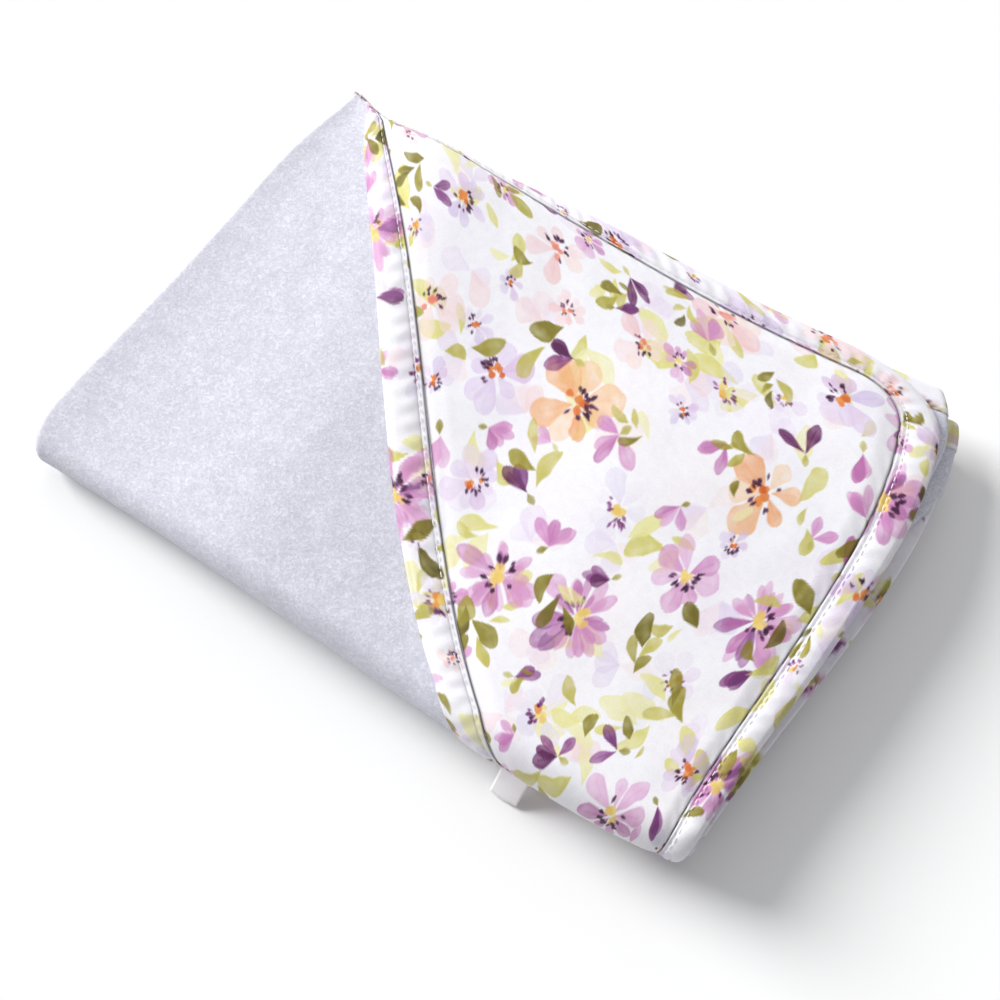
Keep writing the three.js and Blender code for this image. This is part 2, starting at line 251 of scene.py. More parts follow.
# ------------------------------------------------------------------ mesh helpers
def mesh_object(name, co, faces, colours=None, smooth_shade=True):
    me = bpy.data.meshes.new(name)
    co = np.asarray(co, float) / 1000.0
    faces = np.asarray(faces)
    n = len(faces)
    k = faces.shape[1]
    me.vertices.add(len(co))
    me.vertices.foreach_set("co", co.astype(np.float32).ravel())
    me.loops.add(n * k)
    me.loops.foreach_set("vertex_index", faces.astype(np.int32).ravel())
    me.polygons.add(n)
    me.polygons.foreach_set("loop_start", np.arange(0, n * k, k, dtype=np.int32))
    me.polygons.foreach_set("loop_total", np.full(n, k, dtype=np.int32))
    me.update(calc_edges=True)
    me.validate()
    me.polygons.foreach_set("use_smooth", np.full(len(me.polygons), smooth_shade))
    if colours is not None:
        at = me.color_attributes.new("Print", "FLOAT_COLOR", "POINT")
        at.data.foreach_set("color", colours.astype(np.float32).ravel())
    ob = bpy.data.objects.new(name, me)
    bpy.context.scene.collection.objects.link(ob)
    return ob


def grid_faces(ni, nj, base=0, flip=False):
    i, j = np.meshgrid(np.arange(ni - 1), np.arange(nj - 1), indexing="ij")
    a = base + i * nj + j
    q = np.stack([a, a + nj, a + nj + 1, a + 1], -1).reshape(-1, 4)
    return q[:, ::-1] if flip else q


def closed_sheet(top, bottom):
    """Two grids (ni, nj, 3) joined round their rim into one closed body."""
    ni, nj = top.shape[:2]
    n = ni * nj
    faces = [grid_faces(ni, nj), grid_faces(ni, nj, n, True)]
    rim = [(i, 0) for i in range(ni)] + [(ni - 1, j) for j in range(1, nj)] + [(i, nj - 1) for i in range(ni - 2, -1, -1)] + [(0, j) for j in range(nj - 2, 0, -1)]
    r = np.array([i * nj + j for i, j in rim])
    s = np.roll(r, -1)
    faces.append(np.stack([s, r, r + n, s + n], -1))
    co = np.concatenate([top.reshape(-1, 3), bottom.reshape(-1, 3)])
    return co, outward(co, np.concatenate(faces))


def outward(co, faces):
    a, b, c, d = [co[faces[:, k]] for k in range(4)]
    vol = (a * np.cross(b, c)).sum() + (a * np.cross(c, d)).sum()
    return faces if vol > 0 else faces[:, ::-1]


def tube_grid(rings, closed_ends=True):
    """rings (n, k, 3) to a closed tube: quads round it and a fan-like strip over each end."""
    n, k = rings.shape[:2]
    i, j = np.meshgrid(np.arange(n - 1), np.arange(k), indexing="ij")
    a, b = i * k + j, i * k + (j + 1) % k
    faces = [np.stack([a, b, b + k, a + k], -1).reshape(-1, 4)]
    for base in (0, (n - 1) * k):
        # strips across the end, pairing point q with point k-1-q
        h = k // 2
        q = np.arange(h - 1)
        f = np.stack([base + q, base + q + 1, base + k - 2 - q, base + k - 1 - q], -1)
        faces.append(f if base == 0 else f[:, ::-1])
    co = rings.reshape(-1, 3)
    return co, outward(co, np.concatenate(faces))


def spans(*parts):
    """parts (a, b, step) to one rising list of positions."""
    out = []
    for a, b, step in parts:
        n = max(1, int(round((b - a) / step)))
        out.append(np.linspace(a, b, n + 1)[(1 if out else 0):])
    return np.concatenate(out)


def corner_cut(q, r):
    q = np.clip(q, 0, r)
    return r - np.sqrt(np.maximum(0, r * r - (r - q) ** 2))


# ------------------------------------------------------------------ the print, painted in flat cloth millimetres
def srgb(h):
    return np.array([int(h[i:i + 2], 16) for i in (0, 2, 4)], float) / 255


def to_linear(c):
    return np.where(c <= 0.04045, c / 12.92, ((c + 0.055) / 1.055) ** 2.4)


GROUND = srgb("FBFAFD")
PURPLE = [srgb(h) for h in ("7C3F7A", "8E4C86", "662A5C", "9A5C96")]
ORCHID = [srgb(h) for h in ("D694C6", "DDA3CC", "C67DB4", "E8B9DC")]
LILAC = [srgb(h) for h in ("E9D9F2", "DFCFEC", "F0E2F4", "E3C9E8")]
BLUSH = [srgb(h) for h in ("FADFE0", "FBE6E6", "F8D0D0", "FBE8E2")]
PEACH = [srgb(h) for h in ("F8CFA4", "F6BE90", "F2AE7C", "FBDDBE")]
CORAL = [srgb(h) for h in ("F2A08E", "EE8F7C", "F6B6A6")]
ORANGE = [srgb(h) for h in ("E5823F", "F0974E", "DD6C34")]
AUBERGINE = [srgb(h) for h in ("3E1C3A", "4C2347", "5B2F55")]
LEAF = [srgb(h) for h in ("B8AF52", "A69C40", "C6BD62", "8A7F2C", "968C38", "D0C873")]
DEEP = [srgb(h) for h in ("6A5F1E", "5C5218", "7A7028")]
LIME = [srgb(h) for h in ("E6E08E", "EFEBA8", "DAD47C", "F4F0BE")]
YELLOW = [srgb(h) for h in ("F7E08E", "F2D178")]


class Cloth:
    """Points of one piece of printed cloth and their colours; motifs are laid on one after another."""

    def __init__(self, x, y, seed):
        self.x, self.y = np.asarray(x, float).ravel(), np.asarray(y, float).ravel()
        self.c = np.tile(GROUND, (self.x.size, 1))
        wash = noise2(self.x, self.y, 26, seed + 5, 2)
        self.lay(np.arange(self.x.size), LILAC[2], 0.30 * np.clip(wash, 0, 1))
        self.lay(np.arange(self.x.size), BLUSH[1], 0.28 * np.clip(-wash - 0.1, 0, 1))
        self.cell = 12.0
        self.kx = np.floor(self.x / self.cell).astype(int)
        self.ky = np.floor(self.y / self.cell).astype(int)
        order = np.lexsort((self.ky, self.kx))
        self.order = order
        self.index = {}
        key = self.kx[order] * 4096 + self.ky[order]
        cut = np.flatnonzero(np.diff(key)) + 1
        for a, b in zip(np.r_[0, cut], np.r_[cut, key.size]):
            self.index[int(key[a])] = (a, b)

    def near(self, x, y, r):
        out = []
        for i in range(int(math.floor((x - r) / self.cell)), int(math.floor((x + r) / self.cell)) + 1):
            for j in range(int(math.floor((y - r) / self.cell)), int(math.floor((y + r) / self.cell)) + 1):
                s = self.index.get(i * 4096 + j)
                if s:
                    out.append(self.order[s[0]:s[1]])
        return np.concatenate(out) if out else np.zeros(0, int)

    def lay(self, idx, colour, alpha):
        a = np.clip(alpha, 0, 1)[:, None]
        self.c[idx] = self.c[idx] * (1 - a) + self.c[idx] ** 0.15 * np.asarray(colour) * a

    def petal(self, x, y, ang, length, width, colour, strength, seed, tip=0.5, vein=True, bend=0.0):
        """A brush petal from (x, y) outwards; it is widest at share tip of its length."""
        idx = self.near(x + math.cos(ang) * length / 2, y + math.sin(ang) * length / 2, length * 0.62 + width * (0.3 + 0.5 * abs(bend)))
        if not idx.size:
            return
        dx, dy = self.x[idx] - x, self.y[idx] - y
        s = (dx * math.cos(ang) + dy * math.sin(ang)) / length
        t = (-dx * math.sin(ang) + dy * math.cos(ang)) / (width / 2)
        wob = noise2(self.x[idx], self.y[idx], 3.4, seed % 97 + 3, 1)
        t = t + (0.11 + 0.10 * abs(bend)) * wob + bend * 4 * s * (1 - s)
        s = s + 0.03 * wob
        k = np.where(s < tip, s / tip, (1 - s) / (1 - tip))
        prof = np.sqrt(np.clip(1 - (1 - np.clip(k, 0, 1)) ** 2, 0, 1)) * (0.28 + 0.72 * np.clip(s / tip, 0, 1))
        d = prof - np.abs(t)
        inside = np.clip(d * width / 2 / 0.50, 0, 1) * (s > -0.02) * (s < 1.02)
        edge = np.exp(-np.clip(d, 0, 9) / 0.16)
        pigment = 0.66 + 0.26 * noise2(self.x[idx], self.y[idx], 3.4, seed % 89 + 40, 2) + 0.32 * edge + 0.22 * (1 - np.clip(s, 0, 1))
        if vein:
            pigment += 0.18 * np.exp(-(t / 0.10) ** 2) * (s < 0.8)
        self.lay(idx, colour, inside * strength * pigment)

    def leaf(self, x, y, ang, length, width, colour, seed, strength=0.95):
        """A cut-paper leaf: curved, widest anywhere along its length, a shade deeper down one half."""
        r = np.random.default_rng(seed)
        bend = r.uniform(-0.8, 0.8)
        self.petal(x, y, ang, length, width, colour, strength, seed, tip=r.uniform(0.34, 0.72), vein=False, bend=bend)
        if r.random() < 0.5:
            self.petal(x, y, ang, length * 0.96, width * 0.5, colour, strength * 0.4, seed + 1, tip=0.5, vein=False, bend=bend * 2 + 0.5)

    def dab(self, x, y, r, colour, strength, seed):
        idx = self.near(x, y, r * 1.4)
        if not idx.size:
            return
        d = np.hypot(self.x[idx] - x, self.y[idx] - y) / r + 0.28 * noise2(self.x[idx], self.y[idx], max(0.8, r * 0.8), seed % 83 + 9, 1)
        self.lay(idx, colour, np.clip((1 - d) / 0.22, 0, 1) * strength)


def pick(rng, options):
    return options[int(rng.integers(len(options)))]


def blossom(cl, rng, x, y, size, kind):
    daisy = kind == "daisy"
    n = int(rng.integers(11, 14)) if daisy else int(rng.integers(6, 9))
    turn = rng.uniform(0, 6.28)
    pale = [srgb("F3EEF8"), srgb("F6F0F8"), srgb("ECE6F5")]
    sets = {"lilac": (LILAC, 0.95, AUBERGINE, ORANGE), "orchid": (ORCHID, 0.95, AUBERGINE, YELLOW), "blush": (BLUSH, 0.95, AUBERGINE, CORAL + ORANGE[:1]),
            "peach": (PEACH, 0.95, AUBERGINE, ORANGE), "white": (pale + LILAC[2:3], 0.9, PURPLE, YELLOW + ORANGE[1:2]),
            "daisy": (ORCHID + ORCHID[:2] + PURPLE[3:], 0.95, AUBERGINE, YELLOW), "coral": (CORAL + PEACH, 0.9, AUBERGINE, ORANGE)}
    petals, strength, dots, heart = sets[kind]
    # the petals nearer one side are seen foreshortened, as the flower is turned a little
    lean, squash = rng.uniform(0, 6.28), rng.uniform(0.62, 0.95)
    rings = ((1.0, 0.85), (0.78, 1.0)) if daisy else ((1.0, 1.0),)
    for share, weight in rings:
        for k in range(n):
            a = turn + (k + (share < 1) * 0.5) * 2 * math.pi / n + rng.normal(0, 0.13)
            ln = size / 2 * share * rng.uniform(0.70, 1.15) * (1 - (1 - squash) * max(0, math.cos(a - lean)))
            wd = ln * (2.9 / n ** 0.62) * rng.uniform(0.62, 1.0) * (0.78 if daisy else 0.92)
            cl.petal(x + math.cos(a) * size * 0.04, y + math.sin(a) * size * 0.04, a, ln, wd, pick(rng, petals), strength * weight, int(rng.integers(1e6)), tip=rng.uniform(0.58, 0.72))
    hr = size * 0.095
    for k in range(5):
        cl.dab(x + rng.normal(0, hr * 0.55), y + rng.normal(0, hr * 0.55), hr * rng.uniform(0.45, 0.75), pick(rng, heart), 0.9, int(rng.integers(1e6)))
    side = rng.uniform(0, 6.28)
    for k in range(int(rng.integers(11, 18))):
        a, r = side + rng.normal(0, 1.2), hr * rng.uniform(0.8, 1.7)
        cl.petal(x + math.cos(a) * r, y + math.sin(a) * r, a + rng.normal(0, 0.5), max(1.5, size * rng.uniform(0.07, 0.125)), max(1.1, size * rng.uniform(0.045, 0.075)), pick(rng, dots), 1.25, int(rng.integers(1e6)), vein=False)


def bud(cl, rng, x, y, size, dark=True):
    a = rng.uniform(0, 6.28)
    for k in range(int(rng.integers(2, 5))):
        cl.petal(x, y, a + rng.normal(0, 0.55), size * rng.uniform(0.7, 1.05), size * rng.uniform(0.35, 0.5), pick(rng, PURPLE if dark else ORCHID), 1.0, int(rng.integers(1e6)), tip=0.6)
    b = a + math.pi + rng.normal(0, 0.3)
    cl.petal(x, y, b, size * 0.4, size * 0.25, pick(rng, LEAF), 0.9, int(rng.integers(1e6)))


def sprig(cl, rng, x, y, size, lime=False):
    a = rng.uniform(0, 6.28)
    n = int(rng.integers(2, 5))
    for k in range(n):
        s = k / max(1, n - 1)
        px, py = x + math.cos(a) * size * 0.7 * s, y + math.sin(a) * size * 0.7 * s
        b = a + (1 if k % 2 else -1) * rng.uniform(0.35, 0.95) if k < n - 1 else a
        ln = size * rng.uniform(0.55, 0.95)
        cl.leaf(px, py, b, ln, ln * rng.uniform(0.36, 0.60), pick(rng, LIME if lime or rng.random() < 0.18 else (DEEP if rng.random() < 0.16 else LEAF)), int(rng.integers(1e6)), 1.1)


def scatter(rng, box, r):
    """Loose even scatter with spacing r in the box (x0, y0, x1, y1)."""
    x0, y0, x1, y1 = box
    g = r / 1.4142
    nx, ny = int((x1 - x0) / g) + 1, int((y1 - y0) / g) + 1
    cells, out = {}, []
    for _ in range(nx * ny * 12):
        x, y = rng.uniform(x0, x1), rng.uniform(y0, y1)
        i, j = int((x - x0) / g), int((y - y0) / g)
        if all((cells[(a, b)][0] - x) ** 2 + (cells[(a, b)][1] - y) ** 2 >= r * r for a in range(i - 2, i + 3) for b in range(j - 2, j + 3) if (a, b) in cells):
            cells[(i, j)] = (x, y)
            out.append((x, y))
    return out


def paint(x, y, seed, scale=1.0):
    cl = Cloth(x / scale, y / scale, seed)
    rng = np.random.default_rng(seed)
    box = (cl.x.min() - 14, cl.y.min() - 14, cl.x.max() + 14, cl.y.max() + 14)
    # faint out-of-focus blossoms behind everything
    for px, py in scatter(rng, box, 26):
        for k in range(4):
            a = rng.uniform(0, 6.28)
            cl.petal(px, py, a, rng.uniform(8, 13), rng.uniform(6, 10), pick(rng, LILAC + BLUSH), 0.42, int(rng.integers(1e6)), tip=0.6, vein=False)
    for px, py in scatter(rng, box, 28):
        sprig(cl, rng, px, py, rng.uniform(13, 20), lime=True)
    spots = scatter(rng, box, 29)
    kinds = ["lilac", "white", "blush", "daisy", "lilac", "white", "blush", "daisy", "orchid", "white", "lilac", "peach"]
    for k, (px, py) in enumerate(spots):
        kind = kinds[int(rng.integers(len(kinds)))]
        blossom(cl, rng, px, py, rng.uniform(20, 27) * (1.25 if kind in ("daisy", "peach") else 1.0), kind)
    small = []
    for px, py in scatter(rng, box, 15.5):
        if all((px - a) ** 2 + (py - b) ** 2 > 12.5 ** 2 for a, b in spots):
            small.append((px, py))
            if rng.random() < 0.62:
                bud(cl, rng, px, py, rng.uniform(8, 12.5), rng.random() < 0.55)
            else:
                blossom(cl, rng, px, py, rng.uniform(10, 14), pick(rng, ["lilac", "white", "white", "blush", "orchid"]))
    for px, py in scatter(rng, box, 19.0):
        near = min(math.hypot(px - a, py - b) for a, b in spots)
        if near > 12.0:
            sprig(cl, rng, px, py, rng.uniform(9, 16))
    c = np.clip(cl.c, 0.02, 1)
    return np.concatenate([to_linear(c), np.ones((c.shape[0], 1))], 1)


# ------------------------------------------------------------------ materials
def material(name, slotless=True):
    m = bpy.data.materials.new(name)
    m.use_nodes = True
    nt = m.node_tree
    nt.nodes.clear()
    out = nt.nodes.new("ShaderNodeOutputMaterial")
    bsdf = nt.nodes.new("ShaderNodeBsdfPrincipled")
    nt.links.new(bsdf.outputs[0], out.inputs[0])
    return m, nt, bsdf


def node(nt, kind, **values):
    n = nt.nodes.new(kind)
    for k, v in values.items():
        if k in n.inputs:
            n.inputs[k].default_value = v
        else:
            setattr(n, k, v)
    return n


def ramp(nt, source, stops):
    r = nt.nodes.new("ShaderNodeValToRGB")
    e = r.color_ramp.elements
    while len(e) < len(stops):
        e.new(0.5)
    for el, (p, c) in zip(e, stops):
        el.position = p
        el.color = (*c, 1) if len(c) == 3 else c
    nt.links.new(source, r.inputs[0])
    return r


def mix(nt, fac, a, b, blend="MIX"):
    m = nt.nodes.new("ShaderNodeMix")
    m.data_type = "RGBA"
    m.blend_type = blend
    for sock, val in ((m.inputs[0], fac), (m.inputs[6], a), (m.inputs[7], b)):
        if isinstance(val, bpy.types.NodeSocket):
            nt.links.new(val, sock)
        elif sock.type == "RGBA":
            sock.default_value = (*val, 1)
        else:
            sock.default_value = val
    return m.outputs[2]


def maths(nt, op, a, b=None):
    m = nt.nodes.new("ShaderNodeMath")
    m.operation = op
    for sock, val in ((m.inputs[0], a), (m.inputs[1], b)):
        if val is None:
            continue
        if isinstance(val, bpy.types.NodeSocket):
            nt.links.new(val, sock)
        else:
            sock.default_value = val
    return m.outputs[0]


def bump(nt, bsdf, height_socket, strength, distance, before=None):
    b = node(nt, "ShaderNodeBump", Strength=strength, Distance=distance)
    nt.links.new(height_socket, b.inputs["Height"])
    if before is not None:
        nt.links.new(before, b.inputs["Normal"])
    nt.links.new(b.outputs[0], bsdf.inputs["Normal"])
    return b.outputs[0]


def terry_material(name, warm=0.0):
    m, nt, bsdf = material(name)
    tc = node(nt, "ShaderNodeTexCoord")
    loops = node(nt, "ShaderNodeTexVoronoi", feature="F1", Scale=1500.0)
    nt.links.new(tc.outputs["Object"], loops.inputs["Vector"])
    tuft = node(nt, "ShaderNodeTexVoronoi", feature="F1", Scale=780.0)
    nt.links.new(tc.outputs["Object"], tuft.inputs["Vector"])
    speck = [node(nt, "ShaderNodeSeparateColor") for _ in range(2)]
    nt.links.new(loops.outputs["Color"], speck[0].inputs[0])
    nt.links.new(tuft.outputs["Color"], speck[1].inputs[0])
    fine = node(nt, "ShaderNodeTexNoise", Scale=2300.0, Detail=4.0, Roughness=0.75)
    nt.links.new(tc.outputs["Object"], fine.inputs["Vector"])
    clump = node(nt, "ShaderNodeTexNoise", Scale=520.0, Detail=4.0, Roughness=0.7)
    nt.links.new(tc.outputs["Object"], clump.inputs["Vector"])
    slow = node(nt, "ShaderNodeTexNoise", Scale=110.0, Detail=4.0, Roughness=0.6)
    nt.links.new(tc.outputs["Object"], slow.inputs["Vector"])
    h = maths(nt, "ADD", maths(nt, "MULTIPLY", speck[0].outputs[0], 0.62), maths(nt, "MULTIPLY", speck[1].outputs[0], 0.30))
    h = maths(nt, "ADD", h, maths(nt, "MULTIPLY", fine.outputs[0], 0.5))
    h = maths(nt, "ADD", h, maths(nt, "MULTIPLY", clump.outputs[0], 0.34))
    tone = ramp(nt, h, [(0.55, (0.600, 0.600, 0.668)), (1.15, (0.668, 0.671, 0.748)), (1.9, (0.795, 0.799, 0.872))])
    tone.color_ramp.elements[0].position = 0.26
    tone.color_ramp.elements[1].position = 0.50
    tone.color_ramp.elements[2].position = 0.74
    scaled = maths(nt, "MULTIPLY", h, 0.55)
    nt.links.new(scaled, tone.inputs[0])
    slow_tint = ramp(nt, slow.outputs[0], [(0.36, (0.935, 0.935, 0.955)), (0.62, (1.0, 1.0, 1.0))])
    colour = mix(nt, 1.0, tone.outputs[0], slow_tint.outputs[0], "MULTIPLY")
    nt.links.new(colour, bsdf.inputs["Base Color"])
    bsdf.inputs["Roughness"].default_value = 0.95
    bsdf.inputs["Specular IOR Level"].default_value = 0.18
    bsdf.inputs["Sheen Weight"].default_value = 0.35
    bsdf.inputs["Sheen Roughness"].default_value = 0.6
    bsdf.inputs["Sheen Tint"].default_value = (0.94, 0.95, 1.0, 1)
    bump(nt, bsdf, h, 0.60, 0.00030)
    return m


def print_material(name, weave=0.25):
    m, nt, bsdf = material(name)
    at = node(nt, "ShaderNodeVertexColor", layer_name="Print")
    tc = node(nt, "ShaderNodeTexCoord")
    grain = node(nt, "ShaderNodeTexNoise", Scale=1500.0, Detail=2.0)
    nt.links.new(tc.outputs["Object"], grain.inputs["Vector"])
    bleed = node(nt, "ShaderNodeTexNoise", Scale=330.0, Detail=3.0)
    nt.links.new(tc.outputs["Object"], bleed.inputs["Vector"])
    g = ramp(nt, grain.outputs[0], [(0.3, (0.87, 0.87, 0.885)), (0.7, (0.915, 0.915, 0.925))])
    colour = mix(nt, 1.0, at.outputs[0], g.outputs[0], "MULTIPLY")
    bl = ramp(nt, bleed.outputs[0], [(0.35, (0.97, 0.965, 0.975)), (0.62, (1, 1, 1))])
    colour = mix(nt, 1.0, colour, bl.outputs[0], "MULTIPLY")
    nt.links.new(colour, bsdf.inputs["Base Color"])
    wa = node(nt, "ShaderNodeTexWave", wave_type="BANDS", bands_direction="X", Scale=560.0, Distortion=0.6)
    wb = node(nt, "ShaderNodeTexWave", wave_type="BANDS", bands_direction="Y", Scale=560.0, Distortion=0.6)
    for wv in (wa, wb):
        nt.links.new(tc.outputs["Object"], wv.inputs["Vector"])
    h = maths(nt, "ADD", wa.outputs["Fac"], wb.outputs["Fac"])
    h = maths(nt, "ADD", h, maths(nt, "MULTIPLY", grain.outputs[0], 1.2))
    rough = ramp(nt, grain.outputs[0], [(0.3, (0.56, 0.56, 0.56)), (0.7, (0.70, 0.70, 0.70))])
    nt.links.new(rough.outputs[0], bsdf.inputs["Roughness"])
    bsdf.inputs["Specular IOR Level"].default_value = 0.28
    bsdf.inputs["Sheen Weight"].default_value = 0.12
    bsdf.inputs["Sheen Roughness"].default_value = 0.45
    bump(nt, bsdf, h, weave, 0.00012)
    return m


def thread_material(name, low, high):
    m, nt, bsdf = material(name)
    tc = node(nt, "ShaderNodeTexCoord")
    twist = node(nt, "ShaderNodeTexWave", wave_type="BANDS", bands_direction="DIAGONAL", Scale=900.0, Distortion=1.0)
    nt.links.new(tc.outputs["Object"], twist.inputs["Vector"])
    r = ramp(nt, twist.outputs["Fac"], [(0.0, low), (1.0, high)])
    nt.links.new(r.outputs[0], bsdf.inputs["Base Color"])
    bsdf.inputs["Roughness"].default_value = 0.5
    bump(nt, bsdf, twist.outputs["Fac"], 0.4, 0.0001)
    return m


def satin_material(name):
    m, nt, bsdf = material(name)
    tc = node(nt, "ShaderNodeTexCoord")
    ribs = node(nt, "ShaderNodeTexWave", wave_type="BANDS", bands_direction="Z", Scale=700.0, Distortion=0.4)
    nt.links.new(tc.outputs["Object"], ribs.inputs["Vector"])
    tint = node(nt, "ShaderNodeTexNoise", Scale=190.0, Detail=2.0)
    nt.links.new(tc.outputs["Object"], tint.inputs["Vector"])
    r = ramp(nt, tint.outputs[0], [(0.3, (0.93, 0.88, 0.91)), (0.7, (0.97, 0.95, 0.96))])
    nt.links.new(r.outputs[0], bsdf.inputs["Base Color"])
    bsdf.inputs["Roughness"].default_value = 0.34
    bsdf.inputs["Anisotropic"].default_value = 0.4
    bump(nt, bsdf, ribs.outputs["Fac"], 0.15, 0.00008)
    return m


TERRY = terry_material("terry_pile")
PRINT = print_material("floral_sateen")
BINDING = print_material("bias_binding", 0.3)
THREAD = thread_material("sewing_thread", (0.80, 0.79, 0.81), (0.92, 0.91, 0.92))
SATIN = satin_material("satin_tape")

MID = V1 + TAD / 2
MIDC = V5 + TCB / 2


def unfold_weight(v):
    """1 on the plies that turn over with the upper half, 0 on the lower, turning through the two near folds."""
    a = 1 - smooth((v - (V1 + 1)) / (TAD - 2))
    b = smooth((v - V5) / TCB)
    return np.where(v < (V2 + V3) / 2, a, b)


def mouth_weight(u, v):
    """How far a point of the hood follows its lifting front; the ends stay sewn down."""
    lift_from = HU * (1 - v / HV) - BAND_U - 66
    back = smooth((u - lift_from + 6) / 46)
    return back * smooth((v - 8) / 62) * smooth((V1 - 2 - v) / 58)


BAND_U = BAND * math.hypot(HU, HV) / HV


def weigh(ob, a, b, w, start, end):
    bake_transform(ob, a, b, start=start, end=end)
    at = ob.data.attributes["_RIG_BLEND"]
    at.data.foreach_set("value", np.clip(w, 0, 1).astype(np.float32).ravel())
    return ob


UNFOLD = dict(start=(0, -0.080, 0.002), end=(0, -0.080, 0.030))
MOUTH = dict(start=(0.05, 0.02, 0.03), end=(-0.02, -0.05, 0.03))

# ------------------------------------------------------------------ terry body, one continuous cloth
PILE = 0.05
fine_u = 1.3
u_st = spans((2.0, BAND + 14, 1.3), (BAND + 14, U1, fine_u), (U1, U2, TU / 8), (U2, U3 - 22, 5.0), (U3 - 22, U3, 1.6), (U3, U4, TU / 8), (U4, U4 + 22, 1.8), (U4 + 22, TOWEL - 2.0, 5.0))
v_st = spans((2.0, V1, 1.4), (V1, V2, TAD / 34), (V2, V3 - 14, 3.6), (V3 - 14, V3, 1.8), (V3, V4, TDC / 12), (V4, V4 + 14, 1.8), (V4 + 14, V5, 4.5), (V5, V6, TCB / 12), (V6, V6 + 12, 3.0), (V6 + 12, TOWEL - 24, 4.2), (TOWEL - 24, TOWEL - 2.0, 1.6))
UU, VV = np.meshgrid(u_st, v_st, indexing="ij")
# rounded corners: rows near the ends of the cloth are drawn in at their ends
cut = np.maximum(corner_cut(VV - 2.0, CORNER_R - 2), corner_cut(TOWEL - 2.0 - VV, CORNER_R - 2))
room = 40.0
UF = np.where(UU < room, 2.0 + cut + (UU - 2.0) * (room - 2.0 - cut) / (room - 2.0), UU)
UF = np.where(UU > TOWEL - room, TOWEL - 2.0 - cut - (TOWEL - 2.0 - UU) * (room - 2.0 - cut) / (room - 2.0), UF)
pile = PILE * noise2(UF, VV, 2.0, 31, 2) + 0.10 * noise2(UF, VV, 9.0, 32, 2)
pileb = PILE * noise2(UF, VV, 2.0, 41, 2) + 0.10 * noise2(UF, VV, 9.0, 42, 2)
top = fold(UF, VV, T / 2 + pile)
bot = fold(UF, VV, -T / 2 - pileb)
co, faces = closed_sheet(top, bot)
terry = mesh_object("terry_body", co, faces)
terry.data.materials.append(TERRY)
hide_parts("terry_ply_top", "terry_ply_bottom", "terry_ply_lower_inner", "terry_ply_upper_inner")
weigh(terry, "lower_half", "upper_half", np.tile(unfold_weight(VV).ravel(), 2), **UNFOLD)

# ------------------------------------------------------------------ heights of the hood's layers over the cloth
LIN0, LIN1 = T / 2 + 0.12, T / 2 + 0.85
PAN0 = T / 2 + 0.95


def seam_gap(u, v):
    """Distance from the hood panel's three seams, in mm."""
    n = math.hypot(1 / HU, 1 / HV)
    d = (1 - u / HU - v / HV) / n - BAND
    return np.minimum(np.minimum(u - BAND, v - BAND), d), d


def corner_gap(u, v):
    r = CORNER_R - BAND
    q = np.hypot(CORNER_R - u, CORNER_R - v)
    return np.where((u < CORNER_R) & (v < CORNER_R), r - q, 1e9)


def hood_top(u, v):
    g, _ = seam_gap(u, v)
    g = np.minimum(g, corner_gap(u, v))
    puff = 0.75 * smooth(g / 8.0) - 0.60 * np.exp(-np.clip(g, 0, 9) / 0.45)
    pucker = 0.10 * np.exp(-np.clip(g, 0, 20) / 3.0) * np.sin((u + v * 0.7) * 2 * math.pi / 5.4 + 2 * noise2(u, v, 14, 61, 1))
    wrinkle = 0.30 * noise2(u, v, 30, 62, 2) * smooth(g / 10)
    return PAN0 + 0.50 + puff + pucker + wrinkle


def hood_grid(v0, v1, step_v, step_u, lo_pad, hi_pad):
    vs = spans((v0, v1, step_v)) if not isinstance(step_v, np.ndarray) else step_v
    widest = HU * (1 - vs.min() / HV) - BAND_U - BAND
    nu = max(4, int(widest / step_u))
    t = np.linspace(0, 1, nu)[:, None]
    lo = BAND - lo_pad + corner_cut(vs - BAND + lo_pad, CORNER_R - BAND + lo_pad)
    hi = HU * (1 - vs / HV) - BAND_U + hi_pad
    hi = np.maximum(hi, lo + 0.6)
    return lo[None, :] + (hi - lo)[None, :] * t, np.broadcast_to(vs[None, :], (nu, vs.size)).copy()


def grid_normals(g):
    a, b = np.gradient(g, axis=0), np.gradient(g, axis=1)
    n = np.cross(a, b)
    return n / np.maximum(np.linalg.norm(n, axis=-1, keepdims=True), 1e-12)


def cut_sheet(names, k, outer, inner, mat, colours=None, axis=1):
    """One cloth written as two closed lengths that meet without a step at row or column k of its grid."""
    n = grid_normals(outer)
    if ((outer - inner) * n).sum() < 0:
        n = -n
    out = []
    for name, sl in zip(names, (slice(None, k + 1), slice(k, None))):
        cut = (slice(None), sl) if axis == 1 else (sl, slice(None))
        a, b, m = outer[cut], inner[cut], n[cut]
        co, faces = closed_sheet(a, b)
        cols = None
        if colours is not None:
            c = colours[cut].reshape(-1, 4)
            cols = np.concatenate([c, c])
        ob = mesh_object(name, co, faces, cols)
        ob.data.normals_split_custom_set_from_vertices(np.concatenate([m.reshape(-1, 3), -m.reshape(-1, 3)]).astype(np.float32).tolist())
        ob.data.materials.append(mat)
        out.append(ob)
    return out


SPLIT = V1 + 3.0
SV = 0.46
V_SEAM_TIP = HV * (1 - (BAND + BAND_U) / HU)
u, v = hood_grid(0, 0, spans((BAND - 0.6, SPLIT, SV), (SPLIT, V_SEAM_TIP - 1.0, SV)), SV, 0.6, 0.6)
k = int(np.argmin(np.abs(v[0] - SPLIT)))
w = hood_top(u, v)
cols = paint(u.ravel(), v.ravel(), 21).reshape(u.shape + (4,))
